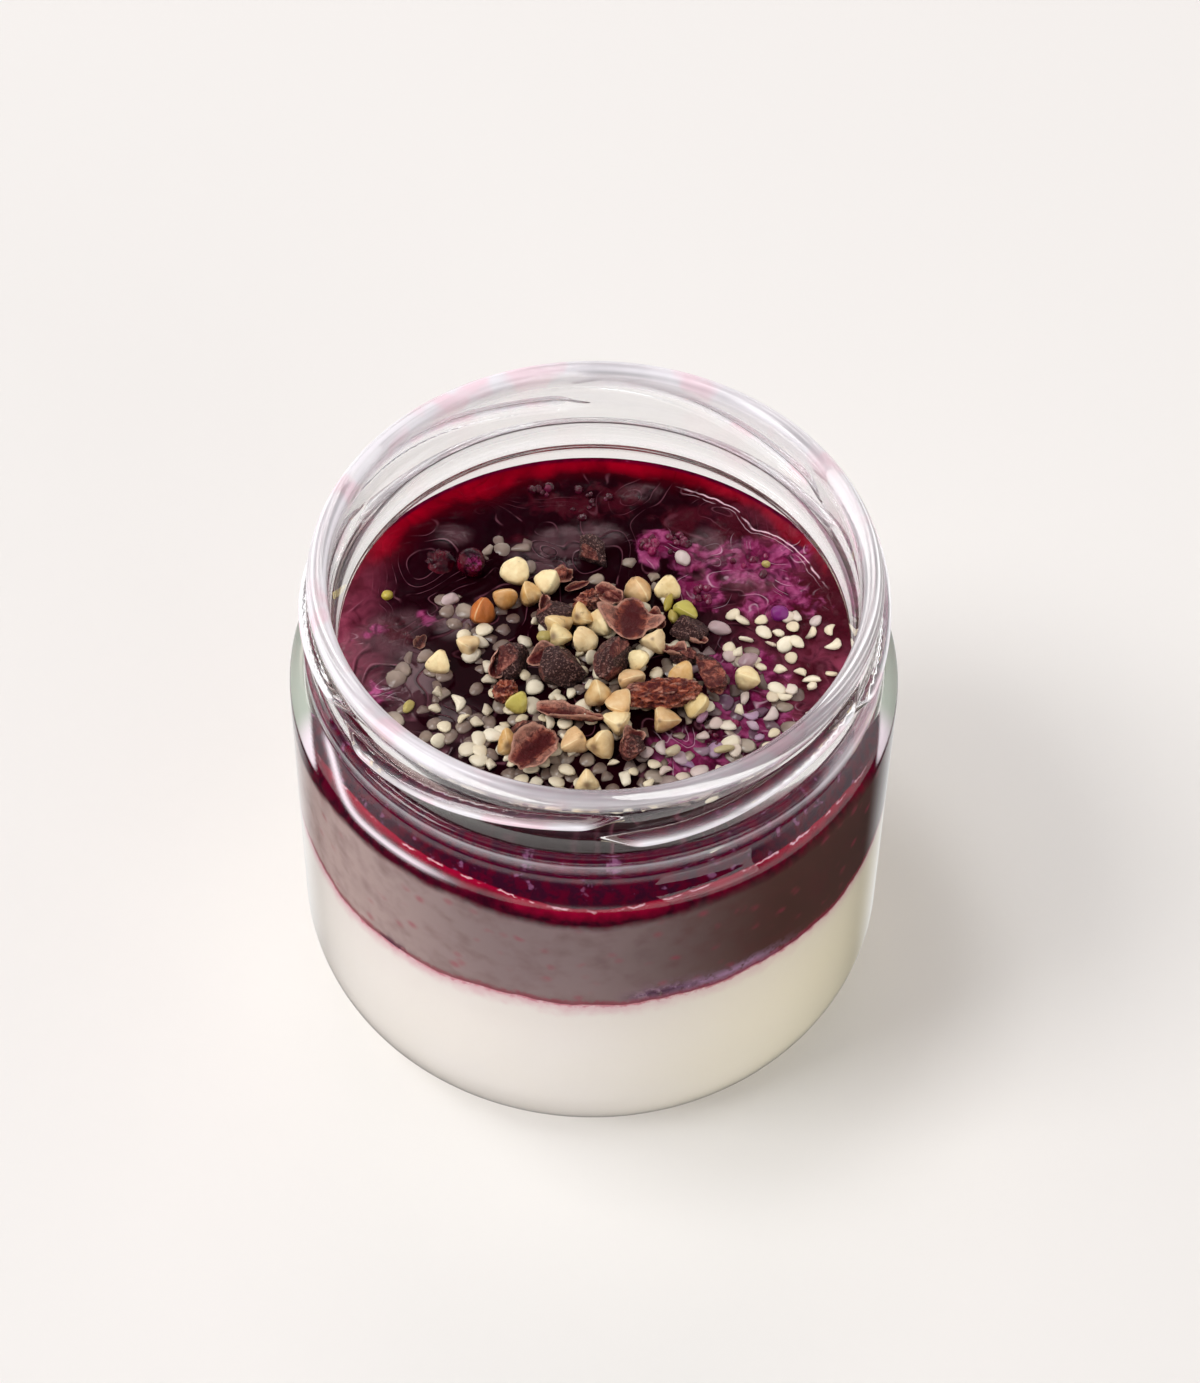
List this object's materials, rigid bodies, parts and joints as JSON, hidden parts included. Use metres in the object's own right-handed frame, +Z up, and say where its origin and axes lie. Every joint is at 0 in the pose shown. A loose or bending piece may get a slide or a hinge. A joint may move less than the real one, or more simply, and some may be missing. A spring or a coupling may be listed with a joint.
{
  "type": "greek yogurt parfait",
  "caption": "Squat clear glass jar of thick white yogurt under dark berry compote, topped with buckwheat groats, cacao nibs, hemp hearts and whole berries.",
  "frame": {"origin": "centre of the jar's foot, on the plane it stands on", "axes": "+Z up towards the open mouth, +X to the right and +Y to the back as the picture sees the jar"},
  "size_m": [0.0844, 0.0844, 0.0795],
  "materials": {
    "glass": "clear pressed glass, smooth",
    "yogurt": "thick strained yogurt, satin",
    "compote": "wet glossy dark berry compote",
    "berry": "dark wrinkled skin with a syrup gloss"
  },
  "bodies": {
    "root": {"glass_jar": "glass", "yogurt_layer": "yogurt", "compote_with_seeds": "compote", "crowned_berry": "berry", "sunken_berry": "berry"}
  },
  "joints": []
}
